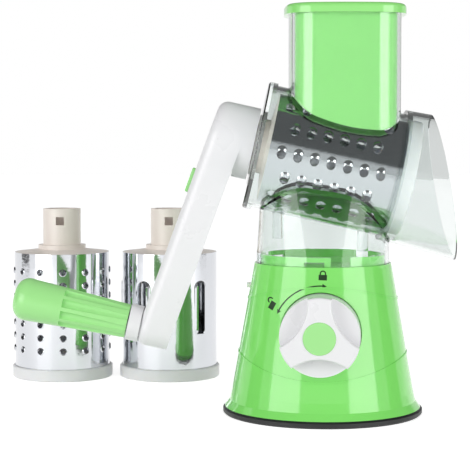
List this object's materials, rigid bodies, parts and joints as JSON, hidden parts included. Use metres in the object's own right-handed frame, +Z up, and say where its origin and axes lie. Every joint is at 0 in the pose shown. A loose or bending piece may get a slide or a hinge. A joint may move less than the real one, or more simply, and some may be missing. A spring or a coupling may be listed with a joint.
{
  "type": "rotary drum grater",
  "caption": "Hand-cranked rotary drum grater and shredder on a suction base worked by a knob, with a clear housing, food pusher, tilted drum and spare drums.",
  "frame": {"origin": "centre of the suction pad's foot on the table", "axes": "+Z up, +X towards the discharge spout, -Y towards the suction knob's side; the drum's axis dips 12.5 degrees from X towards the spout"},
  "size_m": [0.3145, 0.2727, 0.2679],
  "materials": {
    "green_gloss": "injection-moulded ABS, high gloss",
    "green_soft": "injection-moulded ABS, satin",
    "clear_plastic": "clear moulded styrene-acrylonitrile",
    "black_rubber": "moulded suction rubber",
    "grey_plastic": "moulded polypropylene",
    "acetal": "moulded acetal",
    "white_plastic": "moulded ABS, satin gloss",
    "cream_plastic": "moulded polypropylene, cream white",
    "frosted_plastic": "translucent moulded polypropylene",
    "polished_steel": "polished stainless sheet",
    "zinc_steel": "zinc-plated steel"
  },
  "bodies": {
    "base": {"base_shell": "green_gloss", "suction_frame": "grey_plastic", "suction_pad": "black_rubber", "frame_screws": "zinc_steel", "return_spring": "zinc_steel", "housing_body": "clear_plastic", "discharge_spout": "clear_plastic", "hub_bush": "acetal", "housing_button_spring": "zinc_steel"},
    "rotor": {"drum_cylinder": "polished_steel", "drum_hub": "cream_plastic", "drum_ring": "frosted_plastic", "crank_outer_shell": "white_plastic", "crank_inner_shell": "white_plastic", "crank_screws": "zinc_steel", "latch_spring": "zinc_steel"},
    "grip_body": {"grip": "green_soft", "grip_spindle": "zinc_steel"},
    "latch": {"latch_slider": "acetal", "release_button": "green_soft"},
    "pusher": {"food_pusher": "green_gloss"},
    "knob": {"cam_shaft": "acetal", "lock_knob": "white_plastic", "knob_cap": "green_soft", "knob_screw": "zinc_steel", "shaft_clip": "zinc_steel"},
    "lifter": {"lifter_yoke": "acetal", "pad_stud": "zinc_steel", "stud_pin": "zinc_steel"},
    "catch": {"housing_lock_button": "acetal"},
    "spare_grater": {"spare_grater_cylinder": "polished_steel", "spare_grater_hub": "cream_plastic", "spare_grater_ring": "frosted_plastic"},
    "spare_slicer": {"spare_slicer_cylinder": "polished_steel", "spare_slicer_hub": "cream_plastic", "spare_slicer_ring": "frosted_plastic"}
  },
  "joints": [
    {"name": "rotor_turn", "type": "hinge", "parent": "base", "child": "rotor", "pos_m": [0, 0, 0.1673], "axis": [0.9763, 0, -0.2164], "continuous": true},
    {"name": "grip_spin", "type": "hinge", "parent": "rotor", "child": "grip_body", "pos_m": [-0.16536, 0, 0.06824], "axis": [0.9763, 0, -0.2164], "continuous": true},
    {"name": "release_slide", "type": "slide", "parent": "rotor", "child": "latch", "axis": [-0.3437, 0, -0.9391], "range_m": [0, 0.003], "stiffness_N_per_m": 800, "springref_m": -0.002, "deforming": ["latch_spring"]},
    {"name": "pusher_slide", "type": "slide", "parent": "base", "child": "pusher", "axis": [0, 0, 1], "range_m": [0, 0.1]},
    {"name": "knob_turn", "type": "hinge", "parent": "base", "child": "knob", "pos_m": [0, 0, 0.058], "axis": [-0.0819, -0.9966, 0], "range_deg": [0, 70]},
    {"name": "lifter_slide", "type": "slide", "parent": "base", "child": "lifter", "axis": [0, 0, 1], "range_m": [-0.004, 0], "deforming": ["return_spring", "suction_pad"]},
    {"name": "housing_button_press", "type": "slide", "parent": "base", "child": "catch", "axis": [1, 0, 0], "range_m": [0, 0.002], "stiffness_N_per_m": 600, "springref_m": -0.001, "deforming": ["housing_button_spring"]},
    {"name": "spare_grater_lift", "type": "slide", "parent": "base", "child": "spare_grater", "axis": [0, 0, 1], "range_m": [0, 0.15]},
    {"name": "spare_slicer_lift", "type": "slide", "parent": "base", "child": "spare_slicer", "axis": [0, 0, 1], "range_m": [0, 0.15]}
  ],
  "couplings": [
    {"joint": "lifter_slide", "follows": "knob_turn", "m_per_rad": -0.0032741}
  ]
}
